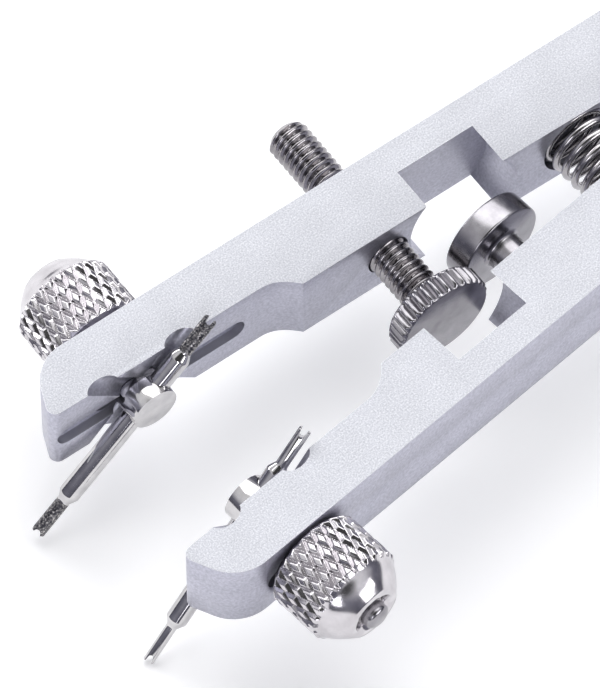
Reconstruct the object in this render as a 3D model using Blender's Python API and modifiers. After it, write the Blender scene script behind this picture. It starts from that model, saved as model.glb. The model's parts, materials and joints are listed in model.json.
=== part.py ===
"""Spring bar pliers: two spring-loaded arms with a notched fork pin clamped on the end of each.

The pivot's axis is the Z axis and the arms' undersides lie in the plane z = 0. The tips point along +X,
the stud arm is on the +Y side and the screw arm on the -Y side. Along an arm, places are given as a
distance toward the tip, a distance outward across the arm, and a height.
"""

import math

import bmesh
import bpy
from mathutils import Matrix, Vector

MM = 0.001

# Arms
THICKNESS = 8.0 * MM
HALF_ANGLE = math.radians(3.745)    # each arm's tilt from the middle plane
ARM_START_X = 88.0 * MM             # where distances along an arm are counted from
OUTER_FACE = 10.2 * MM
FORK_FACE = 4.78 * MM               # inner face of the front section
BLOCK_FACE = 3.0 * MM
STEP_REAR = 32.4 * MM
STEP_LENGTH = 3.3 * MM
STEP_SKEW = 0.54                    # below 1, the step rises faster at its block end
REAR_FACE = 2.9 * MM
REAR_FACE_START = 19.4 * MM
REAR_FACE_SLOPE = 0.0135
REAR_FACE_END = -9.0 * MM
NOSE_CENTRE = (52.6 * MM, 6.15 * MM)
NOSE_RADIUS = 4.05 * MM
NOSE_TILT = 22.0
NOSE_TIP_CENTRE = (56.337 * MM, 5.58 * MM)
NOSE_TIP_RADIUS = 0.8 * MM
GROOVE_PLACE = 48.05 * MM           # where the two slanted pin grooves cross in the fork face
GROOVE_AXIS = 4.51 * MM
GROOVE_RADIUS = 1.12 * MM
GROOVE_TILT = math.radians(45.0)

# Pivot
EYE_RADIUS = 4.45 * MM
EYE_CLEARANCE = 4.9 * MM            # radius cut free around the other arm's eye
TONGUE = (2.85 * MM, 5.15 * MM)
EAR_INSIDE = (2.65 * MM, 5.35 * MM)
MIDDLE_GAP = 0.15 * MM              # each arm's distance from the middle plane at the pivot
MIDDLE_SLOPE = 0.0235
PIVOT_RADIUS = 1.5 * MM
PIVOT_HEAD_RADIUS = 2.75 * MM
PIVOT_HEAD_UNDER = 6.8 * MM
PIVOT_HEAD_TOP = 7.9 * MM
DRIVER_SLOT = (0.7 * MM, 0.6 * MM)  # width and depth of a screwdriver slot
FIT_GAP = 0.1 * MM

# Pockets, one in each arm, that the other arm's wheel or stud head sinks into
POCKET_RADIUS = 5.66 * MM
POCKET_FLOOR = 7.25 * MM
SCREW_PLACE = 23.4 * MM             # adjusting screw and the pocket facing its wheel
STUD_PLACE = 15.35 * MM             # limit stud and the pocket facing its head

# Adjusting screw and wheel, measured outward across the screw arm
SCREW_RADIUS = 1.95 * MM
SCREW_HOLE_RADIUS = 2.1 * MM
SCREW_OUTER_END = 18.1 * MM
SCREW_POINT = (1.35 * MM, 0.6 * MM)
WHEEL_RADIUS = 4.65 * MM
WHEEL_FACES = (-5.2 * MM, -3.0 * MM)
WHEEL_CHAMFER = 0.25 * MM
WHEEL_FLOOR = 0.7 * MM
SCREW_SEAT_GAP = 0.2 * MM

# Limit stud, measured outward across the stud arm
STUD_HEAD_RADIUS = 4.3 * MM
STUD_HEAD_FACES = (-2.25 * MM, 0.15 * MM)
STUD_CHAMFER = 0.2 * MM
STUD_RADIUS = 1.725 * MM
STUD_END = 8.2 * MM
STUD_HOLE = (1.85 * MM, 8.5 * MM)   # radius and depth

# Return spring, square across the middle plane
SPRING_X = 90.9 * MM
SPRING_RADIUS = 3.04 * MM           # to the middle of the wire
WIRE_RADIUS = 0.36 * MM
SPRING_HALF_LENGTH = 6.05 * MM
SPRING_TURNS = 10
SPRING_STEPS = 14                   # points in one turn
SPRING_SEAT_RADIUS = 3.75 * MM
SPRING_SEAT_DEPTH = 6.35 * MM       # from the middle plane to the seat's floor

# Slots and clamp posts
SLOT_HEIGHT = 3.645 * MM
SLOT_WIDTH = 2.17 * MM
SLOT_REAR = 37.3 * MM
SLOT_FRONT = 56.75 * MM
SLOT_FLOOR = 5.6 * MM               # floor of the slot's shallow ends
SLOT_THROUGH = (43.6 * MM, 52.4 * MM)
SLOT_THROUGH_WIDTH = 2.11 * MM
POST_PLACES = {"screw_side": 48.3 * MM, "stud_side": 47.9 * MM}
POST_FACE = 2.45 * MM
POST_HEAD_RADIUS = 2.175 * MM
POST_HEAD_UNDER = 4.5 * MM
POST_NECK_RADIUS = 2.1 * MM
POST_NECK_WIDTH = 1.96 * MM
POST_NECK_END = 10.32 * MM
POST_THREAD_START = 10.25 * MM      # just clear of the arm, so that only the neck is in the slot
POST_THREAD_RADIUS = 1.5 * MM
POST_END = 19.2 * MM
POST_POINT = (1.0 * MM, 0.5 * MM)

# Clamp nuts, measured outward across the arm
NUT_RADIUS = 4.7 * MM
NUT_SEAT = 10.4 * MM
NUT_CHAMFER = 0.35 * MM
NUT_KNURL_END = 16.2 * MM
NUT_LAND_RADIUS = 2.6 * MM
NUT_END = 18.3 * MM
NUT_MOUTH = (2.05 * MM, 0.4 * MM)
NUT_BORE_RADIUS = 1.65 * MM

# Fork pins, measured from the post's axis toward the long end
PIN_PLANE = 3.78 * MM
PIN_TILT = math.radians(43.0)
PIN_RADIUS = 0.97 * MM
PIN_HOLE_RADIUS = 1.02 * MM
PIN_LONG = (11.3 * MM, 12.1 * MM, 15.9 * MM)    # shaft, taper and tip
PIN_SHORT = (4.8 * MM, 5.6 * MM, 9.3 * MM)
FORK_RADII = {"screw_side": (0.62 * MM, 0.62 * MM), "stud_side": (0.5 * MM, 0.575 * MM)}
PIN_SHIFT = {"screw_side": 0.0, "stud_side": 1.2 * MM}   # how far toward its long end a pin is clamped
FORK_NOTCH = (0.5 * MM, 0.7 * MM)   # width and depth
FORK_TURN = math.radians(-25.0)     # the notches' turn about the pin

SIDES = {"stud_side": 1, "screw_side": -1}
ROUND_STEPS = 32
FINE_STEPS = 48
ARC_STEPS = 10
OVERCUT = 1.0 * MM


def empty_scene():
    for thing in list(bpy.data.objects):
        bpy.data.objects.remove(thing)


def collection(name):
    group = bpy.data.collections.new(name)
    bpy.context.scene.collection.children.link(group)
    return group


def metal(name, color, roughness):
    material = bpy.data.materials.new(name)
    material.use_nodes = True
    shader = material.node_tree.nodes["Principled BSDF"]
    shader.inputs["Base Color"].default_value = (*color, 1.0)
    shader.inputs["Metallic"].default_value = 1.0
    shader.inputs["Roughness"].default_value = roughness
    return material


# Places

def arm_point(side, along, out):
    """A point on an arm, seen from above, as x and y."""
    x = ARM_START_X + along * math.cos(HALF_ANGLE) - out * math.sin(HALF_ANGLE)
    y = along * math.sin(HALF_ANGLE) + out * math.cos(HALF_ANGLE)
    return x, side * y


def outward(side):
    """The direction straight out of an arm's outer face."""
    return Vector((-math.sin(HALF_ANGLE), side * math.cos(HALF_ANGLE), 0))


def forward(side):
    """The direction along an arm toward its tip."""
    return Vector((math.cos(HALF_ANGLE), side * math.sin(HALF_ANGLE), 0))


def pin_direction(side):
    """A fork pin's direction toward its long end: forward and down."""
    return forward(side) * math.cos(PIN_TILT) - Vector((0, 0, math.sin(PIN_TILT)))


def axes_matrix(place, z_axis, x_hint):
    """A placement whose Z runs along z_axis and whose X leans to x_hint."""
    z = z_axis.normalized()
    x = (x_hint - z * x_hint.dot(z)).normalized()
    y = z.cross(x)
    turn = Matrix((x, y, z)).transposed().to_4x4()
    return Matrix.Translation(place) @ turn


def across_arm(side, along, out, height):
    """A placement on an arm whose Z points outward across it and whose X points forward."""
    x, y = arm_point(side, along, out)
    return axes_matrix(Vector((x, y, height)), outward(side), forward(side))


# Shapes

def arc(centre, radius, start, end, steps=ARC_STEPS):
    """Points of an arc, with its angles in degrees."""
    points = []
    for i in range(steps + 1):
        angle = math.radians(start + (end - start) * i / steps)
        points.append((centre[0] + radius * math.cos(angle), centre[1] + radius * math.sin(angle)))
    return points


def mesh_from_curve(curve_object, name):
    """A closed mesh object in the curve's place; the curve is removed."""
    bpy.context.view_layer.update()
    depsgraph = bpy.context.evaluated_depsgraph_get()
    mesh = bpy.data.meshes.new_from_object(curve_object.evaluated_get(depsgraph))
    shape = bmesh.new()
    shape.from_mesh(mesh)
    bmesh.ops.remove_doubles(shape, verts=shape.verts, dist=0.001 * MM)
    bmesh.ops.recalc_face_normals(shape, faces=shape.faces)
    shape.to_mesh(mesh)
    shape.free()
    thing = bpy.data.objects.new(name, mesh)
    thing.matrix_world = curve_object.matrix_world.copy()
    bpy.data.objects.remove(curve_object)
    return thing


def plate(name, outline, low, high, matrix=None):
    """A flat outline raised from low to high along its own Z."""
    curve = bpy.data.curves.new(name + "_outline", "CURVE")
    curve.dimensions = "2D"
    curve.fill_mode = "BOTH"
    curve.extrude = (high - low) / 2
    spline = curve.splines.new("POLY")
    spline.points.add(len(outline) - 1)
    for point, (x, y) in zip(spline.points, outline):
        point.co = (x, y, 0, 1)
    spline.use_cyclic_u = True
    guide = bpy.data.objects.new(name + "_outline", curve)
    bpy.context.scene.collection.objects.link(guide)
    guide.matrix_world = (matrix or Matrix()) @ Matrix.Translation((0, 0, (low + high) / 2))
    return mesh_from_curve(guide, name)


def cylinder(name, radius, low, high, matrix, steps=ROUND_STEPS):
    """A round bar from low to high along the placement's Z."""
    mesh = bpy.data.meshes.new(name)
    shape = bmesh.new()
    bmesh.ops.create_cone(
        shape, cap_ends=True, segments=steps, radius1=radius, radius2=radius, depth=high - low,
        matrix=Matrix.Translation((0, 0, (low + high) / 2)),
    )
    shape.to_mesh(mesh)
    shape.free()
    thing = bpy.data.objects.new(name, mesh)
    thing.matrix_world = matrix
    return thing


def box(name, low, high, matrix=None):
    """A block between two corners in the placement's own directions."""
    mesh = bpy.data.meshes.new(name)
    shape = bmesh.new()
    size = Vector(high) - Vector(low)
    middle = (Vector(high) + Vector(low)) / 2
    bmesh.ops.create_cube(shape, size=1, matrix=Matrix.Translation(middle) @ Matrix.Diagonal((*size, 1)))
    shape.to_mesh(mesh)
    shape.free()
    thing = bpy.data.objects.new(name, mesh)
    thing.matrix_world = matrix or Matrix()
    return thing


def turned(name, profile, matrix, closed=False, steps=ROUND_STEPS):
    """A profile of (radius, height) points, top to bottom down its outer side, turned about Z."""
    mesh = bpy.data.meshes.new(name)
    edges = [(i, i + 1) for i in range(len(profile) - 1)]
    if closed:
        edges.append((len(profile) - 1, 0))
    mesh.from_pydata([(radius, 0, height) for radius, height in profile], edges, [])
    thing = bpy.data.objects.new(name, mesh)
    thing.matrix_world = matrix
    screw = thing.modifiers.new("turn", "SCREW")
    screw.angle = math.tau
    screw.steps = steps
    screw.render_steps = steps
    screw.use_merge_vertices = True
    screw.merge_threshold = 0.001 * MM
    return thing


def boolean(thing, cutter, operation="DIFFERENCE"):
    modifier = thing.modifiers.new(cutter.name, "BOOLEAN")
    modifier.operation = operation
    modifier.solver = "EXACT"
    modifier.object = cutter
    cutter.hide_render = True
    cutter.display_type = "WIRE"
    CUTTERS.objects.link(cutter)


def finish(thing, material, sharp_angle=35.0):
    """Puts a finished piece in the model, with its material and smooth round faces."""
    PARTS.objects.link(thing)
    thing.data.materials.clear()
    thing.data.materials.append(material)
    thing.data.shade_smooth()
    thing.data.set_sharp_from_angle(angle=math.radians(sharp_angle))
    return thing


# Arms

def step_points():
    """The curved step from the block face to the fork face."""
    points = []
    for i in range(ARC_STEPS + 1):
        run = i / ARC_STEPS
        rise = 0.5 - 0.5 * math.cos(math.pi * run ** STEP_SKEW)
        points.append((STEP_REAR + STEP_LENGTH * run, BLOCK_FACE + (FORK_FACE - BLOCK_FACE) * rise))
    return points


def arm_outline(side, pocket_place):
    """An arm from above, from the pivot along its inner face to the nose and back along its outer face."""
    rear_end = REAR_FACE - REAR_FACE_SLOPE * (REAR_FACE_START - REAR_FACE_END)
    inner = [(REAR_FACE_END, rear_end), (pocket_place, REAR_FACE), (pocket_place, BLOCK_FACE)]
    inner += step_points()
    nose = arc(NOSE_TIP_CENTRE, NOSE_TIP_RADIUS, -90, NOSE_TILT)
    nose += arc(NOSE_CENTRE, NOSE_RADIUS, NOSE_TILT, 90)
    eye_end = math.degrees(math.atan2(MIDDLE_GAP + MIDDLE_SLOPE * EYE_RADIUS, EYE_RADIUS))
    eye = arc((0, 0), EYE_RADIUS, 90 + math.degrees(HALF_ANGLE), 360 + eye_end, 4 * ARC_STEPS)
    outline = [arm_point(side, along, out) for along, out in inner + nose]
    outline += [(x, side * y) for x, y in eye]
    return outline


def slot_outline(rear, front, width):
    """A slot seen from outside an arm: x along the arm, y across its thickness."""
    radius = width / 2
    points = arc((rear + radius, 0), radius, 90, 270)
    return points + arc((front - radius, 0), radius, -90, 90)


def arm(name, side, pocket_place):
    piece = plate(name, arm_outline(side, pocket_place), 0, THICKNESS)
    middle = THICKNESS / 2
    pocket = across_arm(side, pocket_place, 0, middle)
    boolean(piece, cylinder(name + "_pocket", POCKET_RADIUS, 0, POCKET_FLOOR, pocket, FINE_STEPS))
    slot = across_arm(side, 0, 0, SLOT_HEIGHT)
    shallow = slot_outline(SLOT_REAR, SLOT_FRONT, SLOT_WIDTH)
    boolean(piece, plate(name + "_slot", shallow, 0, SLOT_FLOOR, slot))
    through = slot_outline(*SLOT_THROUGH, SLOT_THROUGH_WIDTH)
    boolean(piece, plate(name + "_through_slot", through, 0, OUTER_FACE + OVERCUT, slot))
    seat = axes_matrix(Vector((SPRING_X, 0, middle)), Vector((0, side, 0)), Vector((1, 0, 0)))
    boolean(piece, cylinder(name + "_spring_seat", SPRING_SEAT_RADIUS, 0, SPRING_SEAT_DEPTH, seat))
    x, y = arm_point(side, GROOVE_PLACE, GROOVE_AXIS)
    for label, sign in (("falling", 1), ("rising", -1)):
        direction = forward(side) * math.cos(GROOVE_TILT) - Vector((0, 0, sign * math.sin(GROOVE_TILT)))
        groove = axes_matrix(Vector((x, y, middle)), direction, outward(side))
        cutter = cylinder(name + "_groove_" + label, GROOVE_RADIUS, -THICKNESS, THICKNESS, groove)
        boolean(piece, cutter)
    return piece


def stud_arm(material):
    """The arm whose two ears hold the pivot screw."""
    piece = arm("stud_arm", 1, SCREW_PLACE)
    pivot = Matrix()
    boolean(piece, cylinder("stud_arm_fork", EYE_CLEARANCE, *EAR_INSIDE, pivot, FINE_STEPS))
    boolean(piece, cylinder("stud_arm_pivot_hole", PIVOT_RADIUS + FIT_GAP, -OVERCUT, THICKNESS, pivot))
    sink_floor = PIVOT_HEAD_UNDER - FIT_GAP
    sink = cylinder("stud_arm_head_sink", PIVOT_HEAD_RADIUS + FIT_GAP, sink_floor, THICKNESS + OVERCUT, pivot)
    boolean(piece, sink)
    stud = across_arm(1, STUD_PLACE, 0, THICKNESS / 2)
    boolean(piece, cylinder("stud_arm_stud_hole", STUD_HOLE[0], 0, STUD_HOLE[1], stud))
    return finish(piece, material)


def screw_arm(material):
    """The arm whose tongue turns between the ears, with the tapped hole for the adjusting screw."""
    piece = arm("screw_arm", -1, STUD_PLACE)
    pivot = Matrix()
    under = cylinder("screw_arm_tongue_under", EYE_CLEARANCE, -OVERCUT, TONGUE[0], pivot, FINE_STEPS)
    over = cylinder("screw_arm_tongue_over", EYE_CLEARANCE, TONGUE[1], THICKNESS + OVERCUT, pivot, FINE_STEPS)
    hole = cylinder("screw_arm_pivot_hole", PIVOT_RADIUS + FIT_GAP, 0, THICKNESS, pivot)
    for cutter in (under, over, hole):
        boolean(piece, cutter)
    screw = across_arm(-1, SCREW_PLACE, 0, THICKNESS / 2)
    boolean(piece, cylinder("screw_arm_screw_hole", SCREW_HOLE_RADIUS, 0, OUTER_FACE + OVERCUT, screw))
    return finish(piece, material)


# Hardware

def pivot_screw(material):
    profile = [
        (0, PIVOT_HEAD_TOP), (PIVOT_HEAD_RADIUS, PIVOT_HEAD_TOP), (PIVOT_HEAD_RADIUS, PIVOT_HEAD_UNDER),
        (PIVOT_RADIUS, PIVOT_HEAD_UNDER), (PIVOT_RADIUS, 0), (0, 0),
    ]
    piece = turned("pivot_screw", profile, Matrix())
    width, depth = DRIVER_SLOT
    low = (-PIVOT_HEAD_RADIUS - OVERCUT, -width / 2, PIVOT_HEAD_TOP - depth)
    high = (PIVOT_HEAD_RADIUS + OVERCUT, width / 2, PIVOT_HEAD_TOP + OVERCUT)
    boolean(piece, box("pivot_screw_slot", low, high))
    return finish(piece, material)


def adjusting_screw(material):
    """Its long end stands out of the screw arm, and its inner end is fixed in the wheel."""
    inner_end = WHEEL_FACES[0] + WHEEL_FLOOR + SCREW_SEAT_GAP
    point_radius, point_length = SCREW_POINT
    profile = [
        (0, SCREW_OUTER_END), (point_radius, SCREW_OUTER_END),
        (SCREW_RADIUS, SCREW_OUTER_END - point_length), (SCREW_RADIUS, inner_end), (0, inner_end),
    ]
    matrix = across_arm(-1, SCREW_PLACE, 0, THICKNESS / 2)
    return finish(turned("adjusting_screw", profile, matrix), material)


def adjusting_wheel(material):
    """A disc with a blind hole for the screw in its outward face."""
    low, high = WHEEL_FACES
    rim = WHEEL_RADIUS - WHEEL_CHAMFER
    hole = SCREW_RADIUS + 2 * FIT_GAP
    profile = [
        (0, low + WHEEL_FLOOR), (hole, low + WHEEL_FLOOR), (hole, high), (rim, high),
        (WHEEL_RADIUS, high - WHEEL_CHAMFER), (WHEEL_RADIUS, low + WHEEL_CHAMFER), (rim, low), (0, low),
    ]
    matrix = across_arm(-1, SCREW_PLACE, 0, THICKNESS / 2)
    return finish(turned("adjusting_wheel", profile, matrix, steps=FINE_STEPS), material)


def limit_stud(material):
    """Its head is behind the wheel and stops the arms from opening further."""
    low, high = STUD_HEAD_FACES
    rim = STUD_HEAD_RADIUS - STUD_CHAMFER
    profile = [
        (0, STUD_END), (STUD_RADIUS, STUD_END), (STUD_RADIUS, high), (rim, high),
        (STUD_HEAD_RADIUS, high - STUD_CHAMFER), (STUD_HEAD_RADIUS, low + STUD_CHAMFER), (rim, low), (0, low),
    ]
    return finish(turned("limit_stud", profile, across_arm(1, STUD_PLACE, 0, THICKNESS / 2)), material)


def return_spring(material):
    """A coil whose first and last turns lie flat against the seats."""
    curve = bpy.data.curves.new("return_spring_path", "CURVE")
    curve.dimensions = "3D"
    curve.bevel_depth = WIRE_RADIUS
    curve.bevel_resolution = 2
    curve.use_fill_caps = True
    count = SPRING_TURNS * SPRING_STEPS
    reach = SPRING_HALF_LENGTH - WIRE_RADIUS
    closed_pitch = 2.1 * WIRE_RADIUS
    open_pitch = (2 * reach - 2 * closed_pitch) / (SPRING_TURNS - 2)
    spline = curve.splines.new("POLY")
    spline.points.add(count)
    for i, point in enumerate(spline.points):
        turn = i / SPRING_STEPS
        y = closed_pitch * min(turn, 1) + open_pitch * min(max(turn - 1, 0), SPRING_TURNS - 2)
        y += closed_pitch * max(turn - SPRING_TURNS + 1, 0) - reach
        angle = math.tau * turn
        point.co = (SPRING_RADIUS * math.cos(angle), y, SPRING_RADIUS * math.sin(angle), 1)
    guide = bpy.data.objects.new("return_spring_path", curve)
    bpy.context.scene.collection.objects.link(guide)
    guide.matrix_world = Matrix.Translation((SPRING_X, 0, THICKNESS / 2))
    return finish(mesh_from_curve(guide, "return_spring"), material, 80.0)


def clamp_post(name, side, along, material):
    """A flat-headed post with a slanted cross hole, two flats that keep it square, and a thread."""
    matrix = across_arm(side, along, 0, SLOT_HEIGHT)
    piece = cylinder(name, POST_HEAD_RADIUS, POST_FACE, POST_HEAD_UNDER, matrix)
    neck = cylinder(name + "_neck", POST_NECK_RADIUS, POST_HEAD_UNDER - OVERCUT, POST_NECK_END, matrix)
    half = POST_NECK_WIDTH / 2
    low = (-POST_HEAD_RADIUS, half, POST_HEAD_UNDER - 2 * OVERCUT)
    high = (POST_HEAD_RADIUS, half + POST_HEAD_RADIUS, POST_NECK_END + OVERCUT)
    upper_flat = box(name + "_upper_flat", low, high, matrix)
    lower_flat = box(name + "_lower_flat", (low[0], -high[1], low[2]), (high[0], -low[1], high[2]), matrix)
    boolean(neck, upper_flat)
    boolean(neck, lower_flat)
    boolean(piece, neck, "UNION")
    point_radius, point_length = POST_POINT
    profile = [
        (0, POST_END), (point_radius, POST_END), (POST_THREAD_RADIUS, POST_END - point_length),
        (POST_THREAD_RADIUS, POST_THREAD_START), (0, POST_THREAD_START),
    ]
    boolean(piece, turned(name + "_tail", profile, matrix, steps=24), "UNION")
    x, y = arm_point(side, along, PIN_PLANE)
    hole = axes_matrix(Vector((x, y, SLOT_HEIGHT)), pin_direction(side), outward(side))
    length = POST_HEAD_RADIUS + OVERCUT
    boolean(piece, cylinder(name + "_cross_hole", PIN_HOLE_RADIUS, -length, length, hole, 24))
    return finish(piece, material)


def clamp_nut(name, side, along, material):
    """A round nut with a cone-shaped end, screwed on the post against the arm's outer face."""
    rim = NUT_RADIUS - NUT_CHAMFER
    mouth_radius, mouth_depth = NUT_MOUTH
    profile = [
        (NUT_LAND_RADIUS, NUT_END), (rim, NUT_KNURL_END), (NUT_RADIUS, NUT_KNURL_END - NUT_CHAMFER),
        (NUT_RADIUS, NUT_SEAT + NUT_CHAMFER), (rim, NUT_SEAT), (NUT_BORE_RADIUS, NUT_SEAT),
        (NUT_BORE_RADIUS, NUT_END - mouth_depth), (mouth_radius, NUT_END),
    ]
    matrix = across_arm(side, along, 0, SLOT_HEIGHT)
    return finish(turned(name, profile, matrix, closed=True, steps=FINE_STEPS), material)


def fork_pin(name, side, along, fork_radii, shift, material):
    """A round pin with a small notched fork at each end, clamped in the post's cross hole."""
    long_radius, short_radius = fork_radii
    shaft_top, taper_top, tip_top = PIN_LONG
    shaft_low, taper_low, tip_low = PIN_SHORT
    profile = [
        (0, tip_top), (long_radius, tip_top), (long_radius, taper_top), (PIN_RADIUS, shaft_top),
        (PIN_RADIUS, -shaft_low), (short_radius, -taper_low), (short_radius, -tip_low), (0, -tip_low),
    ]
    x, y = arm_point(side, along, PIN_PLANE)
    place = Vector((x, y, SLOT_HEIGHT)) + pin_direction(side) * shift
    matrix = axes_matrix(place, pin_direction(side), outward(side))
    piece = turned(name, profile, matrix, steps=20)
    width, depth = FORK_NOTCH
    half = Vector((width / 2, PIN_RADIUS, 0))
    top = Vector((0, 0, tip_top))
    bottom = Vector((0, 0, -tip_low))
    deep = Vector((0, 0, depth))
    over = Vector((0, 0, OVERCUT))
    turned_matrix = matrix @ Matrix.Rotation(FORK_TURN, 4, "Z")
    boolean(piece, box(name + "_long_notch", top - half - deep, top + half + over, turned_matrix))
    boolean(piece, box(name + "_short_notch", bottom - half - over, bottom + half + deep, turned_matrix))
    return finish(piece, material)


empty_scene()
PARTS = collection("spring_bar_pliers")
CUTTERS = collection("cutters")

stud_arm(metal("stud_arm_aluminium", (0.78, 0.78, 0.80), 0.45))
screw_arm(metal("screw_arm_aluminium", (0.78, 0.78, 0.80), 0.45))
pivot_screw(metal("pivot_screw_steel", (0.62, 0.61, 0.60), 0.25))
adjusting_screw(metal("adjusting_screw_steel", (0.55, 0.53, 0.51), 0.3))
adjusting_wheel(metal("adjusting_wheel_steel", (0.60, 0.59, 0.58), 0.22))
limit_stud(metal("limit_stud_steel", (0.60, 0.59, 0.58), 0.2))
return_spring(metal("return_spring_steel", (0.52, 0.51, 0.50), 0.25))
for side_name, side_sign in SIDES.items():
    post_place = POST_PLACES[side_name]
    post_name = side_name + "_clamp_post"
    nut_name = side_name + "_clamp_nut"
    pin_name = side_name + "_fork_pin"
    clamp_post(post_name, side_sign, post_place, metal(post_name + "_steel", (0.70, 0.70, 0.71), 0.2))
    clamp_nut(nut_name, side_sign, post_place, metal(nut_name + "_nickel", (0.66, 0.65, 0.63), 0.25))
    pin_steel = metal(pin_name + "_steel", (0.58, 0.57, 0.57), 0.25)
    fork_pin(pin_name, side_sign, post_place, FORK_RADII[side_name], PIN_SHIFT[side_name], pin_steel)
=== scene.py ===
"""Spring bar pliers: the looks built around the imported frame."""

import json
import math

import bmesh
import bpy
from mathutils import Matrix, Vector


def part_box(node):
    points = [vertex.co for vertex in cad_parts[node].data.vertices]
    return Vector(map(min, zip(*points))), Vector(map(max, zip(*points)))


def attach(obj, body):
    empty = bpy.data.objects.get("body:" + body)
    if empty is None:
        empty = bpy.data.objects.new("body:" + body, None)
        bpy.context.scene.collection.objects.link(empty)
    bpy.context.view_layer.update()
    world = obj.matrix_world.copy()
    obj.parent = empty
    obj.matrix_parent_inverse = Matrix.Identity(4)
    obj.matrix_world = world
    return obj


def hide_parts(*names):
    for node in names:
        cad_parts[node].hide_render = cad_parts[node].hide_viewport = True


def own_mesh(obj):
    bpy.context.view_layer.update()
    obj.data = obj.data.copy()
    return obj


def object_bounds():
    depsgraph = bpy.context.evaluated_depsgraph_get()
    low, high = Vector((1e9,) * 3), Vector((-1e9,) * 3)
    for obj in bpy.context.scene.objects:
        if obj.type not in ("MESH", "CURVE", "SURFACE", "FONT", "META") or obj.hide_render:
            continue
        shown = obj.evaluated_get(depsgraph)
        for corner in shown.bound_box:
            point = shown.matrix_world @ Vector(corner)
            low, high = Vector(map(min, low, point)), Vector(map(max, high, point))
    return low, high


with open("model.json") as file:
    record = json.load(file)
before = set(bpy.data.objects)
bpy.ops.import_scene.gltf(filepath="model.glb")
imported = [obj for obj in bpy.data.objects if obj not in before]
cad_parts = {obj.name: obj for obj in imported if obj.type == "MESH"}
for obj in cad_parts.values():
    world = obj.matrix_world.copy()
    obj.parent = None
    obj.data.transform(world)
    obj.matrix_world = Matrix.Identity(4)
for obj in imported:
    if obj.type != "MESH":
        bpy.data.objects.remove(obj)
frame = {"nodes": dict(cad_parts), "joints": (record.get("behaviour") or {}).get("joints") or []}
cad_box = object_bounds()

MM = 0.001
JOINTS = {joint["name"]: joint for joint in frame["joints"]}
SIDES = {"stud_side": 1, "screw_side": -1}
UP = Vector((0, 0, 1))

# Arms
ARM_EDGE = 0.16 * MM
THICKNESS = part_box("stud_arm")[1].z
SKIN_DEPTH = 0.02 * MM              # how far from the top or underside a face still belongs to it
LEVEL_FACE = 0.98                   # the least upward share of a level face's normal
SLANTED_FACE = 0.15                 # and of a beveled edge's
BLASTED_FACE, MACHINED_SHADED_FACE, HIGHLIGHT_EDGE_FACE, SLOT_FACE = range(4)
SLOT_LOW = 2.50 * MM                # the slot's lower and upper faces
SLOT_HIGH = 4.79 * MM
SLOT_INNER_OUT = 5.2 * MM           # outward from the posts' joints
SLOT_START_X = 124.0 * MM

# Adjusting screw and wheel, measured outward across the screw arm
SCREW_RADIUS = 1.94 * MM
SCREW_ENDS = (-4.3 * MM, 18.1 * MM)
SCREW_PITCH = 0.7 * MM
SCREW_DEPTH = 0.38 * MM
WHEEL_RADIUS = 4.65 * MM
WHEEL_FACES = (-5.2 * MM, -3.0 * MM)
WHEEL_TEETH = 32
TOOTH_DEPTH = 0.42 * MM
WHEEL_EDGE = 0.28 * MM
WHEEL_LIP = 0.05 * MM
WHEEL_MOUTH = 0.15 * MM
WHEEL_FLOOR = 0.75 * MM
WHEEL_HOLE_GAP = 0.06 * MM

# Limit stud, measured outward across the stud arm
STUD_BEHIND_POST = 32.55 * MM       # back along the arm from the clamp post
POST_JOINT_OUT = 4.78 * MM          # where the post's joint is stated
STUD_HEAD_RADIUS = 4.3 * MM
STUD_HEAD_FACES = (-2.25 * MM, 0.15 * MM)
STUD_RADIUS = 1.725 * MM
STUD_END = 8.2 * MM
STUD_FILLET = 0.25 * MM
STUD_ROUNDING = 0.22 * MM
TIP_RADIUS = 0.02 * MM              # the small flat where a turned body's profile meets its axis

# Clamp posts and nuts, measured outward across the arm
POST_THREAD_START = 10.5 * MM
POST_THREAD_RADIUS = 1.49 * MM
POST_THREAD_PITCH = 0.5 * MM
POST_THREAD_DEPTH = 0.24 * MM
POST_THREAD_END = 18.1 * MM
POST_END = 19.2 * MM
POST_POINT_RADIUS = 1.2 * MM
POST_POINT_DOME = 0.55 * MM
POST_POINT_OVERLAP = 0.3 * MM
POST_EDGE = 0.09 * MM
THREAD_CHAMFER = 0.5 * MM
NUT_JOINT_OUT = 13.0 * MM           # where the nut's joint is stated
NUT_RADIUS = 4.7 * MM
NUT_SEAT = 10.4 * MM
NUT_KNURL_END = 16.2 * MM
NUT_END = 18.3 * MM
NUT_LAND_RADIUS = 2.6 * MM
NUT_BORE_RADIUS = 1.65 * MM
KNURL_RIDGES = 26
KNURL_DEPTH = 0.34 * MM
KNURL_SLANT = math.radians(24.0)
KNURL_STEEPNESS = 1.8
KNURL_SPACING = 0.07 * MM           # between the cross-sections
KNURL_CHAMFER = 0.35 * MM
NUT_FOOT = 0.25 * MM                # chamfer against the arm
NUT_NECK_RADIUS = NUT_RADIUS - 0.36 * MM
NUT_MOUTH_RADIUS = 2.05 * MM
NUT_MOUTH_DEPTH = 0.45 * MM
BORE_ENTRY = 0.3 * MM
CONE_STEPS = 12
CONE_BULGE = 0.16 * MM
CONE_UNDERLAP = 0.02 * MM

# Fork pins, measured from the post's axis toward the long end
PIN_RADIUS = 0.97 * MM
PIN_SHIFT = {"screw_side": 0.0, "stud_side": 1.2 * MM}   # how far toward its long end a pin is clamped
FORK_TURN = math.radians(-25.0)     # the notches' turn about the pin
FORK_FLARE = 1.35                   # a notch's width at its mouth against its root
PIN_LONG_END = (11.3 * MM, 12.0 * MM)   # where the shaft ends and the fork begins
PIN_SHORT_END = (4.8 * MM, 5.5 * MM)
PIN_ROUNDING = 0.12 * MM
PIN_EDGE = 0.04 * MM
ROUGH_START = 0.1 * MM              # how far along a fork its ground part begins

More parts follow.
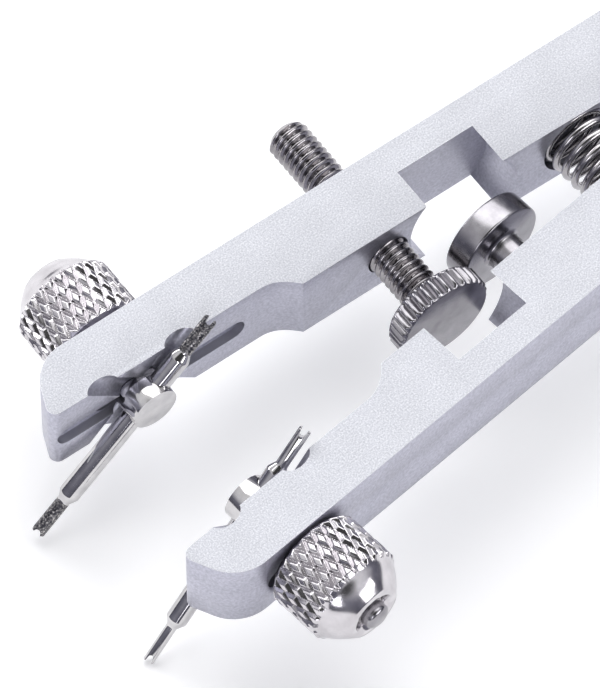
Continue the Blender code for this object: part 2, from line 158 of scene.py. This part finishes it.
# Return spring
SPRING_TURNS = 10
SPRING_STEPS = 40
WIRE_SIDES = 14
WIRE_RADIUS = 0.36 * MM
SPRING_RADIUS = 3.04 * MM


# Places

def axes_matrix(place, z_axis, x_hint):
    """A placement whose Z runs along z_axis and whose X leans to x_hint."""
    z = Vector(z_axis).normalized()
    x = (Vector(x_hint) - z * Vector(x_hint).dot(z)).normalized()
    y = z.cross(x)
    turn = Matrix((x, y, z)).transposed().to_4x4()
    return Matrix.Translation(Vector(place)) @ turn


def outward(side):
    return Vector(JOINTS[side + "_nut_turn"]["axis"])


# Shapes

def new_object(name, mesh, matrix=None):
    thing = bpy.data.objects.new(name, mesh)
    bpy.context.scene.collection.objects.link(thing)
    thing.matrix_world = matrix or Matrix()
    return thing


def ring_body(name, rings, matrix, steps, hollow=False):
    """A closed body of revolution. Each ring is a function of the angle that gives (radius, height).

    The rings run from the bottom up the outside; a hollow body goes on down its bore to its first ring."""
    shape = bmesh.new()
    loops = []
    for ring in rings:
        loop = []
        for i in range(steps):
            angle = math.tau * i / steps
            radius, height = ring(angle)
            loop.append(shape.verts.new((radius * math.cos(angle), radius * math.sin(angle), height)))
        loops.append(loop)
    pairs = list(zip(loops, loops[1:]))
    if hollow:
        pairs.append((loops[-1], loops[0]))
    for low, high in pairs:
        for i in range(steps):
            j = (i + 1) % steps
            shape.faces.new((low[i], low[j], high[j], high[i]))
    if not hollow:
        shape.faces.new(list(reversed(loops[0])))
        shape.faces.new(loops[-1])
    bmesh.ops.recalc_face_normals(shape, faces=shape.faces)
    mesh = bpy.data.meshes.new(name)
    shape.to_mesh(mesh)
    shape.free()
    return new_object(name, mesh, matrix)


def plain_ring(radius, height):
    return lambda angle: (radius, height)


def lathe(name, profile, matrix, steps=96, hollow=False):
    """A turned body from (radius, height) points, bottom to top up its outer side."""
    return ring_body(name, [plain_ring(r, z) for r, z in profile], matrix, steps, hollow)


def rounded(profile, corner, count=4):
    """The profile with each inner corner rounded off by the given size."""
    points = [Vector(p) for p in profile]
    result = [points[0]]
    for before, here, after in zip(points, points[1:], points[2:]):
        back, on = before - here, after - here
        size = min(corner, back.length * 0.45, on.length * 0.45)
        start, end = here + back.normalized() * size, here + on.normalized() * size
        for i in range(count + 1):
            t = i / count
            result.append(start * (1 - t) ** 2 + here * 2 * t * (1 - t) + end * t * t)
    result.append(points[-1])
    return [(p.x, p.y) for p in result]


def spread(start, end, step):
    """Evenly spaced numbers from start to end, at most step apart."""
    count = max(1, math.ceil(abs(end - start) / step))
    return [start + (end - start) * i / count for i in range(count + 1)]


def thread_wave(phase):
    """0 at a thread's root and 1 on its rounded crest."""
    wave = 0.5 - 0.5 * math.cos(math.tau * phase)
    return wave ** 0.55


def thread_ring(height, ends, radius, depth, pitch, chamfer):
    """One cross-section of a thread that fades into a chamfer at each end."""
    inset = min(height - ends[0], ends[1] - height)
    top = radius - max(0.0, chamfer - inset)

    def ring(angle):
        crest = thread_wave((height / pitch - angle / math.tau) % 1)
        return min(radius - depth * (1 - crest), top), height
    return ring


def threaded_rod(name, ends, radius, depth, pitch, chamfer, matrix, steps=64):
    heights = spread(ends[0], ends[1], pitch / 10)
    rings = [thread_ring(z, ends, radius, depth, pitch, chamfer) for z in heights]
    return ring_body(name, rings, matrix, steps)


def smooth(thing, angle=35.0):
    thing.data.shade_smooth()
    thing.data.set_sharp_from_angle(angle=math.radians(angle))
    return thing


def bevel(thing, width, segments=2, angle=35.0):
    modifier = thing.modifiers.new("edges", "BEVEL")
    modifier.width = width
    modifier.segments = segments
    modifier.limit_method = "ANGLE"
    modifier.angle_limit = math.radians(angle)
    modifier.use_clamp_overlap = True
    return thing


def clean_copy(node, name):
    """The CAD node's shape as a new object, with its flat faces whole again."""
    mesh = frame["nodes"][node].data.copy()
    shape = bmesh.new()
    shape.from_mesh(mesh)
    bmesh.ops.remove_doubles(shape, verts=shape.verts, dist=0.0005 * MM)
    bmesh.ops.dissolve_limit(shape, angle_limit=math.radians(0.6), verts=shape.verts, edges=shape.edges)
    bmesh.ops.recalc_face_normals(shape, faces=shape.faces)
    shape.to_mesh(mesh)
    shape.free()
    mesh.materials.clear()
    return new_object(name, mesh)


def cut(thing, cutter):
    """Takes the cutter away from the thing, and removes it."""
    modifier = thing.modifiers.new("cut", "BOOLEAN")
    modifier.solver = "EXACT"
    modifier.object = cutter
    apply_modifiers(thing)
    bpy.data.objects.remove(cutter)


def apply_modifiers(thing):
    bpy.context.view_layer.update()
    depsgraph = bpy.context.evaluated_depsgraph_get()
    mesh = bpy.data.meshes.new_from_object(thing.evaluated_get(depsgraph))
    thing.modifiers.clear()
    thing.data = mesh


def block(name, low, high, matrix):
    mesh = bpy.data.meshes.new(name)
    shape = bmesh.new()
    size = Vector(high) - Vector(low)
    middle = (Vector(high) + Vector(low)) / 2
    bmesh.ops.create_cube(shape, size=1, matrix=Matrix.Translation(middle) @ Matrix.Diagonal((*size, 1)))
    shape.to_mesh(mesh)
    shape.free()
    return new_object(name, mesh, matrix)


# Materials

def material_nodes(name):
    material = bpy.data.materials.new(name)
    material.use_nodes = True
    nodes = material.node_tree.nodes
    return material, nodes, material.node_tree.links, nodes["Principled BSDF"]


def object_coordinates(nodes):
    return nodes.new("ShaderNodeTexCoord").outputs["Object"]


def noise(nodes, links, coordinates, scale, detail=3.0, stretch=None):
    texture = nodes.new("ShaderNodeTexNoise")
    texture.inputs["Scale"].default_value = scale
    texture.inputs["Detail"].default_value = detail
    if stretch:
        mapping = nodes.new("ShaderNodeMapping")
        mapping.inputs["Scale"].default_value = stretch
        links.new(coordinates, mapping.inputs["Vector"])
        coordinates = mapping.outputs["Vector"]
    links.new(coordinates, texture.inputs["Vector"])
    return texture.outputs["Fac"]


def ramp(nodes, links, value, stops):
    """Colours or greys at places from 0 to 1."""
    node = nodes.new("ShaderNodeValToRGB")
    elements = node.color_ramp.elements
    while len(elements) < len(stops):
        elements.new(0.5)
    for element, (place, color) in zip(elements, stops):
        element.position = place
        element.color = (*color, 1.0) if isinstance(color, tuple) else (color, color, color, 1.0)
    links.new(value, node.inputs["Fac"])
    return node.outputs["Color"]


def mix(nodes, links, a, b, factor=0.5, blend="MULTIPLY"):
    node = nodes.new("ShaderNodeMix")
    node.data_type = "RGBA"
    node.blend_type = blend
    node.inputs["Factor"].default_value = factor
    links.new(a, node.inputs[6])
    links.new(b, node.inputs[7])
    return node.outputs[2]


def bump(nodes, links, height, strength, distance, normal=None):
    node = nodes.new("ShaderNodeBump")
    node.inputs["Strength"].default_value = strength
    node.inputs["Distance"].default_value = distance
    links.new(height, node.inputs["Height"])
    if normal:
        links.new(normal, node.inputs["Normal"])
    return node.outputs["Normal"]


def blasted_aluminium():
    """Bead-blasted and clear anodised: a fine sparkling grain over faint cloudy patches."""
    material, nodes, links, shader = material_nodes("blasted_aluminium")
    place = object_coordinates(nodes)
    grain = noise(nodes, links, place, 7000.0, 2.0)
    patches = noise(nodes, links, place, 260.0, 4.0)
    greys = [(0.30, (0.54, 0.55, 0.59)), (0.50, (0.65, 0.66, 0.70)), (0.70, (0.80, 0.81, 0.84))]
    tone = ramp(nodes, links, grain, greys)
    cloud = ramp(nodes, links, patches, [(0.3, 0.93), (0.7, 1.0)])
    links.new(mix(nodes, links, tone, cloud, 1.0), shader.inputs["Base Color"])
    links.new(ramp(nodes, links, grain, [(0.3, 0.68), (0.7, 0.55)]), shader.inputs["Roughness"])
    links.new(bump(nodes, links, grain, 0.25, 0.02 * MM), shader.inputs["Normal"])
    shader.inputs["Metallic"].default_value = 0.3
    return material


def machined_aluminium_painted_shade():
    """The milled sides: fine lines along the bar under the anodising, and a greyer tone darker than the top,
    which is painted shade.
    """
    material, nodes, links, shader = material_nodes("machined_aluminium_painted_shade")
    place = object_coordinates(nodes)
    grain = noise(nodes, links, place, 4200.0, 2.0)
    lines = noise(nodes, links, place, 3500.0, 2.0, (0.05, 0.05, 1.0))
    patches = noise(nodes, links, place, 300.0, 3.0)
    # painted shade: the sides' base colour is set darker than the blasted top to stand for the shade on them
    tone = ramp(nodes, links, grain, [(0.3, (0.42, 0.42, 0.49)), (0.7, (0.57, 0.57, 0.65))])
    cloud = ramp(nodes, links, patches, [(0.3, 0.92), (0.7, 1.0)])
    links.new(mix(nodes, links, tone, cloud, 1.0), shader.inputs["Base Color"])
    links.new(ramp(nodes, links, lines, [(0.3, 0.42), (0.7, 0.34)]), shader.inputs["Roughness"])
    first = bump(nodes, links, lines, 0.12, 0.01 * MM)
    links.new(bump(nodes, links, grain, 0.12, 0.01 * MM, first), shader.inputs["Normal"])
    shader.inputs["Metallic"].default_value = 0.9
    return material


def painted_highlight_edge():
    """The small cut edges, painted near-white as a highlight line; the back strip lamp adds a real glint on
    them.
    """
    material, nodes, links, shader = material_nodes("painted_highlight_edge")
    place = object_coordinates(nodes)
    grain = noise(nodes, links, place, 3000.0, 2.0)
    # painted highlight: a near-white base colour makes the bevels read as bright lines
    tone = ramp(nodes, links, grain, [(0.3, (0.92, 0.92, 0.94)), (0.7, (1.0, 1.0, 1.0))])
    links.new(tone, shader.inputs["Base Color"])
    links.new(ramp(nodes, links, grain, [(0.3, 0.24), (0.7, 0.34)]), shader.inputs["Roughness"])
    shader.inputs["Metallic"].default_value = 1.0
    return material


def turned_metal(name, dark, light, roughness, ring_strength=0.08, spots=0.0):
    """Turned steel: fine rings round the axis, faint stains and a slightly uneven polish."""
    material, nodes, links, shader = material_nodes(name)
    place = object_coordinates(nodes)
    rings = nodes.new("ShaderNodeTexWave")
    rings.wave_type = "RINGS"
    rings.rings_direction = "Z"
    rings.inputs["Scale"].default_value = 2600.0
    rings.inputs["Distortion"].default_value = 1.2
    rings.inputs["Detail"].default_value = 2.0
    links.new(place, rings.inputs["Vector"])
    lines = noise(nodes, links, place, 9000.0, 1.0, (0.04, 0.04, 1.0))
    stains = noise(nodes, links, place, 700.0, 4.0)
    fine = noise(nodes, links, place, 6000.0, 2.0)
    tone = ramp(nodes, links, stains, [(0.25, dark), (0.75, light)])
    speck = ramp(nodes, links, fine, [(0.25, 1.0 - spots), (0.6, 1.0)])
    links.new(mix(nodes, links, tone, speck, 1.0), shader.inputs["Base Color"])
    low, high = roughness
    links.new(ramp(nodes, links, stains, [(0.3, low), (0.75, high)]), shader.inputs["Roughness"])
    first = bump(nodes, links, rings.outputs["Fac"], ring_strength, 0.01 * MM)
    links.new(bump(nodes, links, lines, ring_strength, 0.01 * MM, first), shader.inputs["Normal"])
    shader.inputs["Metallic"].default_value = 1.0
    return material


def rough_steel():
    """Coarsely ground dark steel that sparkles in specks."""
    material, nodes, links, shader = material_nodes("ground_fork")
    place = object_coordinates(nodes)
    specks = noise(nodes, links, place, 5000.0, 3.0)
    broad = noise(nodes, links, place, 1800.0, 2.0)
    greys = [(0.42, (0.06, 0.06, 0.07)), (0.58, (0.26, 0.25, 0.25)), (0.66, (0.75, 0.73, 0.71))]
    tone = ramp(nodes, links, specks, greys)
    links.new(tone, shader.inputs["Base Color"])
    links.new(ramp(nodes, links, broad, [(0.3, 0.25), (0.7, 0.5)]), shader.inputs["Roughness"])
    links.new(bump(nodes, links, specks, 0.8, 0.06 * MM), shader.inputs["Normal"])
    shader.inputs["Metallic"].default_value = 1.0
    return material


def studio_floor():
    material, nodes, links, shader = material_nodes("studio_floor")
    place = object_coordinates(nodes)
    soft = noise(nodes, links, place, 3.0, 1.0)
    links.new(ramp(nodes, links, soft, [(0.2, 0.93), (0.8, 0.95)]), shader.inputs["Base Color"])
    shader.inputs["Emission Color"].default_value = (1, 1, 1, 1)
    shader.inputs["Emission Strength"].default_value = FLOOR_GLOW
    shader.inputs["Roughness"].default_value = 0.8
    shader.inputs["Specular IOR Level"].default_value = 0.1
    return material


BLASTED = blasted_aluminium()
MACHINED_PAINTED_SHADE = machined_aluminium_painted_shade()
# painted shade: the slot's walls get this aluminium, darker than the sides, for the shade inside the recess
SLOT_SHADE_METAL = turned_metal("slot_shade_aluminium", (0.34, 0.34, 0.39), (0.42, 0.42, 0.47), (0.45, 0.55), 0.05)
PAINTED_HIGHLIGHT_EDGE = painted_highlight_edge()
NICKEL = turned_metal("nickel_plate", (0.50, 0.48, 0.50), (0.70, 0.68, 0.70), (0.12, 0.20), 0.04)
TURNED = turned_metal("turned_steel", (0.26, 0.25, 0.27), (0.42, 0.41, 0.43), (0.16, 0.28), 0.14)
DARK_STEEL = turned_metal("dark_steel", (0.24, 0.23, 0.24), (0.44, 0.42, 0.43), (0.10, 0.20), 0.04, 0.15)
SPRING_STEEL = turned_metal("spring_steel", (0.36, 0.35, 0.36), (0.54, 0.52, 0.53), (0.14, 0.22), 0.05)
PIN_STEEL = turned_metal("pin_steel", (0.46, 0.45, 0.46), (0.66, 0.65, 0.65), (0.06, 0.12), 0.02)
FORK_STEEL = rough_steel()


def place_piece(thing, material, body, slot, *nodes):
    if material:
        thing.data.materials.clear()
        thing.data.materials.append(material)
    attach(thing, body)
    if nodes:
        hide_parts(*nodes)
    return thing


# Pieces

def arm_face(side, mesh, face):
    """The number of the material that a face of an arm has, from its place and direction."""
    up = abs(face.normal.z)
    from_skin = min(face.center.z, THICKNESS - face.center.z)
    if up > LEVEL_FACE and from_skin < SKIN_DEPTH:
        return BLASTED_FACE
    if up > SLANTED_FACE and from_skin < ARM_EDGE:
        return HIGHLIGHT_EDGE_FACE
    heights = [mesh.vertices[i].co.z for i in face.vertices]
    post = Vector(JOINTS[side + "_post_slide"]["pos_m"])
    out = outward(side)
    in_slot = SLOT_LOW < min(heights) and max(heights) < SLOT_HIGH and face.center.x > SLOT_START_X
    in_slot = in_slot and (face.center - post).dot(out) < SLOT_INNER_OUT
    return SLOT_FACE if in_slot and abs(face.normal.dot(out)) < 0.5 else MACHINED_SHADED_FACE


def arm(node, body):
    """Blasted top and underside, machined sides whose darker colour is painted shade, beveled edges painted
    near-white as a highlight, and slot walls painted darker as shade.
    """
    side = "stud_side" if node == "stud_arm" else "screw_side"
    piece = clean_copy(node, node + "_body")
    bevel(piece, ARM_EDGE, 2, 40.0)
    apply_modifiers(piece)
    mesh = piece.data
    for material in (BLASTED, MACHINED_PAINTED_SHADE, PAINTED_HIGHLIGHT_EDGE, SLOT_SHADE_METAL):    # in the order of the face numbers
        mesh.materials.append(material)
    for face in mesh.polygons:
        face.material_index = arm_face(side, mesh, face)
    smooth(piece, 30.0)
    return place_piece(piece, None, body, "arm_aluminium", node)


def adjusting_screw():
    joint = JOINTS["screw_travel"]
    matrix = axes_matrix(joint["pos_m"], joint["axis"], UP)
    thread = (SCREW_RADIUS, SCREW_DEPTH, SCREW_PITCH, THREAD_CHAMFER)
    piece = threaded_rod("adjusting_screw_thread", SCREW_ENDS, *thread, matrix)
    smooth(piece, 60.0)
    place_piece(piece, DARK_STEEL, "adjusting_screw", "dark_steel", "adjusting_screw")


def wheel_ring(radius, height, cut_share):
    """One cross-section of the toothed rim."""
    def ring(angle):
        wave = 0.5 - 0.5 * math.cos(WHEEL_TEETH * angle)
        return radius - TOOTH_DEPTH * cut_share * (1 - wave ** 0.55), height
    return ring


def adjusting_wheel():
    joint = JOINTS["screw_travel"]
    matrix = axes_matrix(joint["pos_m"], joint["axis"], UP)
    low, high = WHEEL_FACES
    hole = SCREW_RADIUS + WHEEL_HOLE_GAP
    flat = WHEEL_RADIUS - 1.6 * WHEEL_EDGE
    shares = (0.35, 0.7, 1.0)

    def rim(height, inward, share):
        radius = WHEEL_RADIUS - WHEEL_EDGE * (1 - share)
        return wheel_ring(radius, height + inward * WHEEL_EDGE * share, share)

    first, last = low + WHEEL_LIP, high - WHEEL_LIP
    rings = [wheel_ring(flat, low, 0.0), rim(first, 1, 0.0)]
    rings += [rim(first, 1, share) for share in shares]
    rings += [rim(last, -1, share) for share in reversed(shares)]
    rings += [rim(last, -1, 0.0), wheel_ring(flat, high, 0.0)]
    rings += [plain_ring(hole + WHEEL_MOUTH, high), plain_ring(hole, high - WHEEL_MOUTH)]
    rings.append(plain_ring(hole, low + WHEEL_FLOOR))
    piece = ring_body("adjusting_wheel_toothed", rings, matrix, WHEEL_TEETH * 12)
    smooth(piece, 50.0)
    place_piece(piece, TURNED, "adjusting_wheel", "turned_steel", "adjusting_wheel")


def limit_stud():
    """Stands on the stud arm, square to it, with its head toward the other arm."""
    along = Vector(JOINTS["stud_side_post_slide"]["axis"])
    out = outward("stud_side")
    post = Vector(JOINTS["stud_side_post_slide"]["pos_m"])
    place = post - along * STUD_BEHIND_POST - out * POST_JOINT_OUT
    place.z = THICKNESS / 2
    matrix = axes_matrix(place, out, UP)
    low, high = STUD_HEAD_FACES
    profile = rounded([
        (TIP_RADIUS, low), (STUD_HEAD_RADIUS, low), (STUD_HEAD_RADIUS, high),
        (STUD_RADIUS + STUD_FILLET, high), (STUD_RADIUS, high + STUD_FILLET),
        (STUD_RADIUS, STUD_END), (TIP_RADIUS, STUD_END),
    ], STUD_ROUNDING)
    piece = lathe("limit_stud_turned", profile, matrix, 128)
    smooth(piece, 40.0)
    place_piece(piece, TURNED, "stud_arm", "turned_steel", "limit_stud")


def knurl_ring(height, start, end):
    """One cross-section of the diamond knurl, which fades at each end into a chamfer."""
    lean = math.tan(KNURL_SLANT) / NUT_RADIUS
    inset = min(height - start, end - height)
    chamfer = max(0.0, KNURL_CHAMFER - inset)

    def groove(phase):
        return abs(2 * (phase % 1) - 1)

    def ring(angle):
        turn = KNURL_RIDGES * angle / math.tau
        skew = KNURL_RIDGES * lean * (height - start) / math.tau
        land = min(1 - groove(turn + skew), 1 - groove(turn - skew))
        rise = min(1.0, land * KNURL_STEEPNESS)
        return min(NUT_RADIUS - KNURL_DEPTH * (1 - rise), NUT_RADIUS - chamfer), height
    return ring


def clamp_nut(side):
    """A diamond-knurled rim, a slightly domed cone and a countersunk bore."""
    joint = JOINTS[side + "_nut_turn"]
    origin = Vector(joint["pos_m"]) - outward(side) * NUT_JOINT_OUT
    matrix = axes_matrix(origin, joint["axis"], UP)
    start, end = NUT_SEAT + NUT_FOOT, NUT_KNURL_END
    rings = [
        plain_ring(NUT_BORE_RADIUS + BORE_ENTRY, NUT_SEAT), plain_ring(NUT_NECK_RADIUS - NUT_FOOT, NUT_SEAT),
        plain_ring(NUT_NECK_RADIUS, start),
    ]
    rings += [knurl_ring(z, start, end) for z in spread(start, end, KNURL_SPACING)]
    cone = end - CONE_UNDERLAP
    for i in range(1, CONE_STEPS + 1):
        t = i / CONE_STEPS
        bulge = CONE_BULGE * math.sin(math.pi * t)
        radius = NUT_NECK_RADIUS + (NUT_LAND_RADIUS - NUT_NECK_RADIUS) * t + bulge
        rings.append(plain_ring(radius, cone + (NUT_END - cone) * t))
    rings += [
        plain_ring(NUT_MOUTH_RADIUS + 0.05 * MM, NUT_END), plain_ring(NUT_MOUTH_RADIUS, NUT_END - 0.04 * MM),
        plain_ring(NUT_BORE_RADIUS, NUT_END - NUT_MOUTH_DEPTH),
        plain_ring(NUT_BORE_RADIUS, NUT_SEAT + BORE_ENTRY),
    ]
    piece = ring_body(side + "_knurled_nut", rings, matrix, KNURL_RIDGES * 16, hollow=True)
    smooth(piece, 50.0)
    place_piece(piece, NICKEL, side + "_nut", "nickel_plate", side + "_clamp_nut")


def clamp_post(side):
    """The CAD post with eased edges, cut off where its threaded tail begins."""
    joint = JOINTS[side + "_nut_turn"]
    origin = Vector(joint["pos_m"]) - outward(side) * NUT_JOINT_OUT
    matrix = axes_matrix(origin, joint["axis"], UP)
    node = side + "_clamp_post"
    piece = clean_copy(node, side + "_post_body")
    width = 4 * MM
    low, high = (-width, -width, POST_THREAD_START), (width, width, POST_END + width)
    cut(piece, block("tail_cutter", low, high, matrix))
    bevel(piece, POST_EDGE, 3, 40.0)
    apply_modifiers(piece)
    smooth(piece, 35.0)
    place_piece(piece, PIN_STEEL, side + "_post", "turned_steel", node)
    ends = (POST_THREAD_START, POST_THREAD_END)
    thread = (POST_THREAD_RADIUS, POST_THREAD_DEPTH, POST_THREAD_PITCH, THREAD_CHAMFER)
    tail = threaded_rod(side + "_post_thread", ends, *thread, matrix, 48)
    smooth(tail, 60.0)
    place_piece(tail, DARK_STEEL, side + "_post", "turned_steel")
    low = POST_THREAD_END - POST_POINT_OVERLAP
    profile = [(TIP_RADIUS, low), (POST_POINT_RADIUS, low)]
    for angle in range(0, 90, 9):
        drop = POST_POINT_DOME * (1 - math.sin(math.radians(angle)))
        profile.append((POST_POINT_RADIUS * math.cos(math.radians(angle)), POST_END - drop))
    profile.append((TIP_RADIUS, POST_END))
    point = smooth(lathe(side + "_post_point", profile, matrix, 64), 50.0)
    place_piece(point, TURNED, side + "_post", "turned_steel")


def notch_cutter(tip, sign, width, depth, matrix):
    """A notch across a pin's end, round at its root and flared toward its mouth."""
    reach = 2 * MM
    root = width / 2
    mouth = root * FORK_FLARE
    sides = [(mouth, tip + sign * reach), (mouth, tip), (root, tip - sign * (depth - root))]
    floor_arc = []
    for angle in range(30, 180, 30):
        drop = depth - root + root * math.sin(math.radians(angle))
        floor_arc.append((root * math.cos(math.radians(angle)), tip - sign * drop))
    outline = sides + floor_arc + [(-x, z) for x, z in reversed(sides)]
    mesh = bpy.data.meshes.new("notch_cutter")
    shape = bmesh.new()
    near = [shape.verts.new((x, -reach, z)) for x, z in outline]
    far = [shape.verts.new((x, reach, z)) for x, z in outline]
    shape.faces.new(near)
    shape.faces.new(list(reversed(far)))
    for i in range(len(outline)):
        j = (i + 1) % len(outline)
        shape.faces.new((near[i], near[j], far[j], far[i]))
    bmesh.ops.recalc_face_normals(shape, faces=shape.faces)
    shape.to_mesh(mesh)
    shape.free()
    return new_object("notch_cutter", mesh, matrix)


def fork_pin(side, long_end, short_end, ends_rough):
    """A polished shaft that steps down to a small notched fork at each end."""
    joint = JOINTS[side + "_pin_slide"]
    place = Vector(joint["pos_m"]) + Vector(joint["axis"]) * PIN_SHIFT[side]
    matrix = axes_matrix(place, joint["axis"], outward(side))
    long_radius, long_tip, long_notch = long_end
    short_radius, short_tip, short_notch = short_end
    shaft_low, fork_low = PIN_SHORT_END
    shaft_top, fork_top = PIN_LONG_END
    profile = rounded([
        (TIP_RADIUS, -short_tip), (short_radius, -short_tip), (short_radius, -fork_low),
        (PIN_RADIUS, -shaft_low), (PIN_RADIUS, shaft_top),
        (long_radius, fork_top), (long_radius, long_tip), (TIP_RADIUS, long_tip),
    ], PIN_ROUNDING)
    piece = lathe(side + "_pin_body", profile, matrix, 64)
    for tip, sign, (width, depth) in ((long_tip, 1, long_notch), (-short_tip, -1, short_notch)):
        cut(piece, notch_cutter(tip, sign, width, depth, matrix @ Matrix.Rotation(FORK_TURN, 4, "Z")))
    bevel(piece, PIN_EDGE, 2, 50.0)
    apply_modifiers(piece)
    mesh = piece.data
    mesh.materials.append(PIN_STEEL)
    mesh.materials.append(FORK_STEEL)
    for face in mesh.polygons:
        height = face.center.z
        rough = height > fork_top + ROUGH_START or height < -fork_low - ROUGH_START
        face.material_index = 1 if rough and ends_rough else 0
    smooth(piece, 35.0)
    place_piece(piece, None, side + "_pin", "polished_pin_steel", side + "_fork_pin")


def return_spring():
    """Round wire whose first and last turns close up flat."""
    low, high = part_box("return_spring")
    middle = (low + high) / 2
    reach = (high.y - low.y) / 2 - WIRE_RADIUS
    closed = 2.1 * WIRE_RADIUS
    pitch = (2 * reach - 2 * closed) / (SPRING_TURNS - 2)
    shape = bmesh.new()
    loops = []
    for i in range(SPRING_TURNS * SPRING_STEPS + 1):
        turn = i / SPRING_STEPS
        y = closed * min(turn, 1) + pitch * min(max(turn - 1, 0), SPRING_TURNS - 2)
        y += closed * max(turn - SPRING_TURNS + 1, 0) - reach
        angle = math.tau * turn
        out = Vector((math.cos(angle), 0, math.sin(angle)))
        centre = Vector((middle.x, middle.y + y, THICKNESS / 2)) + out * SPRING_RADIUS
        loop = []
        for k in range(WIRE_SIDES):
            around = math.tau * k / WIRE_SIDES
            offset = out * math.cos(around) + Vector((0, 1, 0)) * math.sin(around)
            loop.append(shape.verts.new(centre + offset * WIRE_RADIUS))
        loops.append(loop)
    for here, after in zip(loops, loops[1:]):
        for k in range(WIRE_SIDES):
            j = (k + 1) % WIRE_SIDES
            shape.faces.new((here[k], here[j], after[j], after[k]))
    shape.faces.new(list(reversed(loops[0])))
    shape.faces.new(loops[-1])
    bmesh.ops.recalc_face_normals(shape, faces=shape.faces)
    mesh = bpy.data.meshes.new("return_spring_wire")
    shape.to_mesh(mesh)
    shape.free()
    piece = smooth(new_object("return_spring_wire", mesh), 60.0)
    place_piece(piece, SPRING_STEEL, "stud_arm", "spring_steel", "return_spring")
    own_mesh(piece)


def pivot_screw():
    piece = clean_copy("pivot_screw", "pivot_screw_body")
    bevel(piece, 0.12 * MM, 3, 40.0)
    apply_modifiers(piece)
    smooth(piece, 35.0)
    place_piece(piece, TURNED, "stud_arm", "turned_steel", "pivot_screw")


# Studio

CAMERA_PLACE = Vector((348.85, 267.91, 594.38)) * MM
CAMERA_TARGET = Vector((124.19, -0.71, 8.0)) * MM
CAMERA_LENS = 423.2
FLOOR_GLOW = 0.22                   # a faintly lit pale table
DARK_ROOM = 0.07                    # the unlit part of the room behind the camera
FLOOR_SIZE = 6.0


def look_at(thing, place, target):
    thing.location = place
    thing.rotation_euler = (Vector(target) - Vector(place)).to_track_quat("-Z", "Y").to_euler()


def camera():
    data = bpy.data.cameras.new("camera")
    data.lens = CAMERA_LENS
    data.sensor_width = 36.0
    data.clip_start = 0.01
    thing = bpy.data.objects.new("camera", data)
    bpy.context.scene.collection.objects.link(thing)
    look_at(thing, CAMERA_PLACE, CAMERA_TARGET)
    bpy.context.scene.camera = thing


def floor():
    height = cad_box[0][2]
    mesh = bpy.data.meshes.new("studio_floor")
    shape = bmesh.new()
    bmesh.ops.create_grid(shape, x_segments=8, y_segments=8, size=FLOOR_SIZE / 2)
    shape.to_mesh(mesh)
    shape.free()
    thing = new_object("studio_floor", mesh, Matrix.Translation((0.1, 0, height)))
    mesh.materials.append(studio_floor())


def area_light(name, place, size, power, color=(1, 1, 1)):
    data = bpy.data.lights.new(name, "AREA")
    data.shape = "RECTANGLE"
    data.size, data.size_y = size
    data.energy = power
    data.color = color
    thing = bpy.data.objects.new(name, data)
    bpy.context.scene.collection.objects.link(thing)
    look_at(thing, Vector(place), (0.11, 0, 0))


def studio_light():
    """A large soft box overhead, a fill on each side, a strip behind, and a pale sky over a dim surround.

    The part of the room above and behind the camera is dark, which gives the polished steel its contrast."""
    area_light("top_box", (-0.25, -0.45, 0.95), (1.1, 0.9), 6.0)
    area_light("left_box", (0.25, -0.9, 0.35), (0.7, 0.25), 2.5)
    area_light("right_box", (0.8, 0.7, 0.5), (0.25, 0.6), 2.0, (0.95, 0.95, 1.0))
    area_light("back_strip", (-0.25, 0.9, 0.42), (0.7, 0.2), 2.5)
    world = bpy.data.worlds.new("studio")
    bpy.context.scene.world = world
    world.use_nodes = True
    nodes, links = world.node_tree.nodes, world.node_tree.links
    direction = nodes.new("ShaderNodeTexCoord").outputs["Generated"]
    split = nodes.new("ShaderNodeSeparateXYZ")
    links.new(direction, split.inputs["Vector"])
    stops = [(0.0, (0.10, 0.10, 0.13)), (0.35, (0.22, 0.22, 0.27)), (0.6, (0.8, 0.8, 0.84)), (1.0, (1, 1, 1))]
    sky = ramp(nodes, links, split.outputs["Z"], stops)
    toward = nodes.new("ShaderNodeVectorMath")
    toward.operation = "DOT_PRODUCT"
    toward.inputs[1].default_value = (CAMERA_PLACE - CAMERA_TARGET).normalized()
    links.new(direction, toward.inputs[0])
    room = ramp(nodes, links, toward.outputs["Value"], [(0.80, 1.0), (0.90, DARK_ROOM)])
    color = mix(nodes, links, sky, room, 1.0)
    background = nodes["Background"]
    links.new(color, background.inputs["Color"])
    background.inputs["Strength"].default_value = 1.0
    bpy.context.scene.view_settings.view_transform = "Standard"


arm("stud_arm", "stud_arm")
arm("screw_arm", "screw_arm")
pivot_screw()
adjusting_screw()
adjusting_wheel()
limit_stud()
return_spring()
for side in SIDES:
    clamp_post(side)
    clamp_nut(side)
blade = (0.62 * MM, 15.9 * MM, (0.6 * MM, 0.45 * MM))
rough_prongs = (0.62 * MM, 9.3 * MM, (0.45 * MM, 0.8 * MM))
fork_pin("screw_side", blade, rough_prongs, True)
prongs = (0.5 * MM, 15.9 * MM, (0.42 * MM, 0.8 * MM))
short_prongs = (0.575 * MM, 9.3 * MM, (0.45 * MM, 0.8 * MM))
fork_pin("stud_side", prongs, short_prongs, False)
camera()
floor()
studio_light()
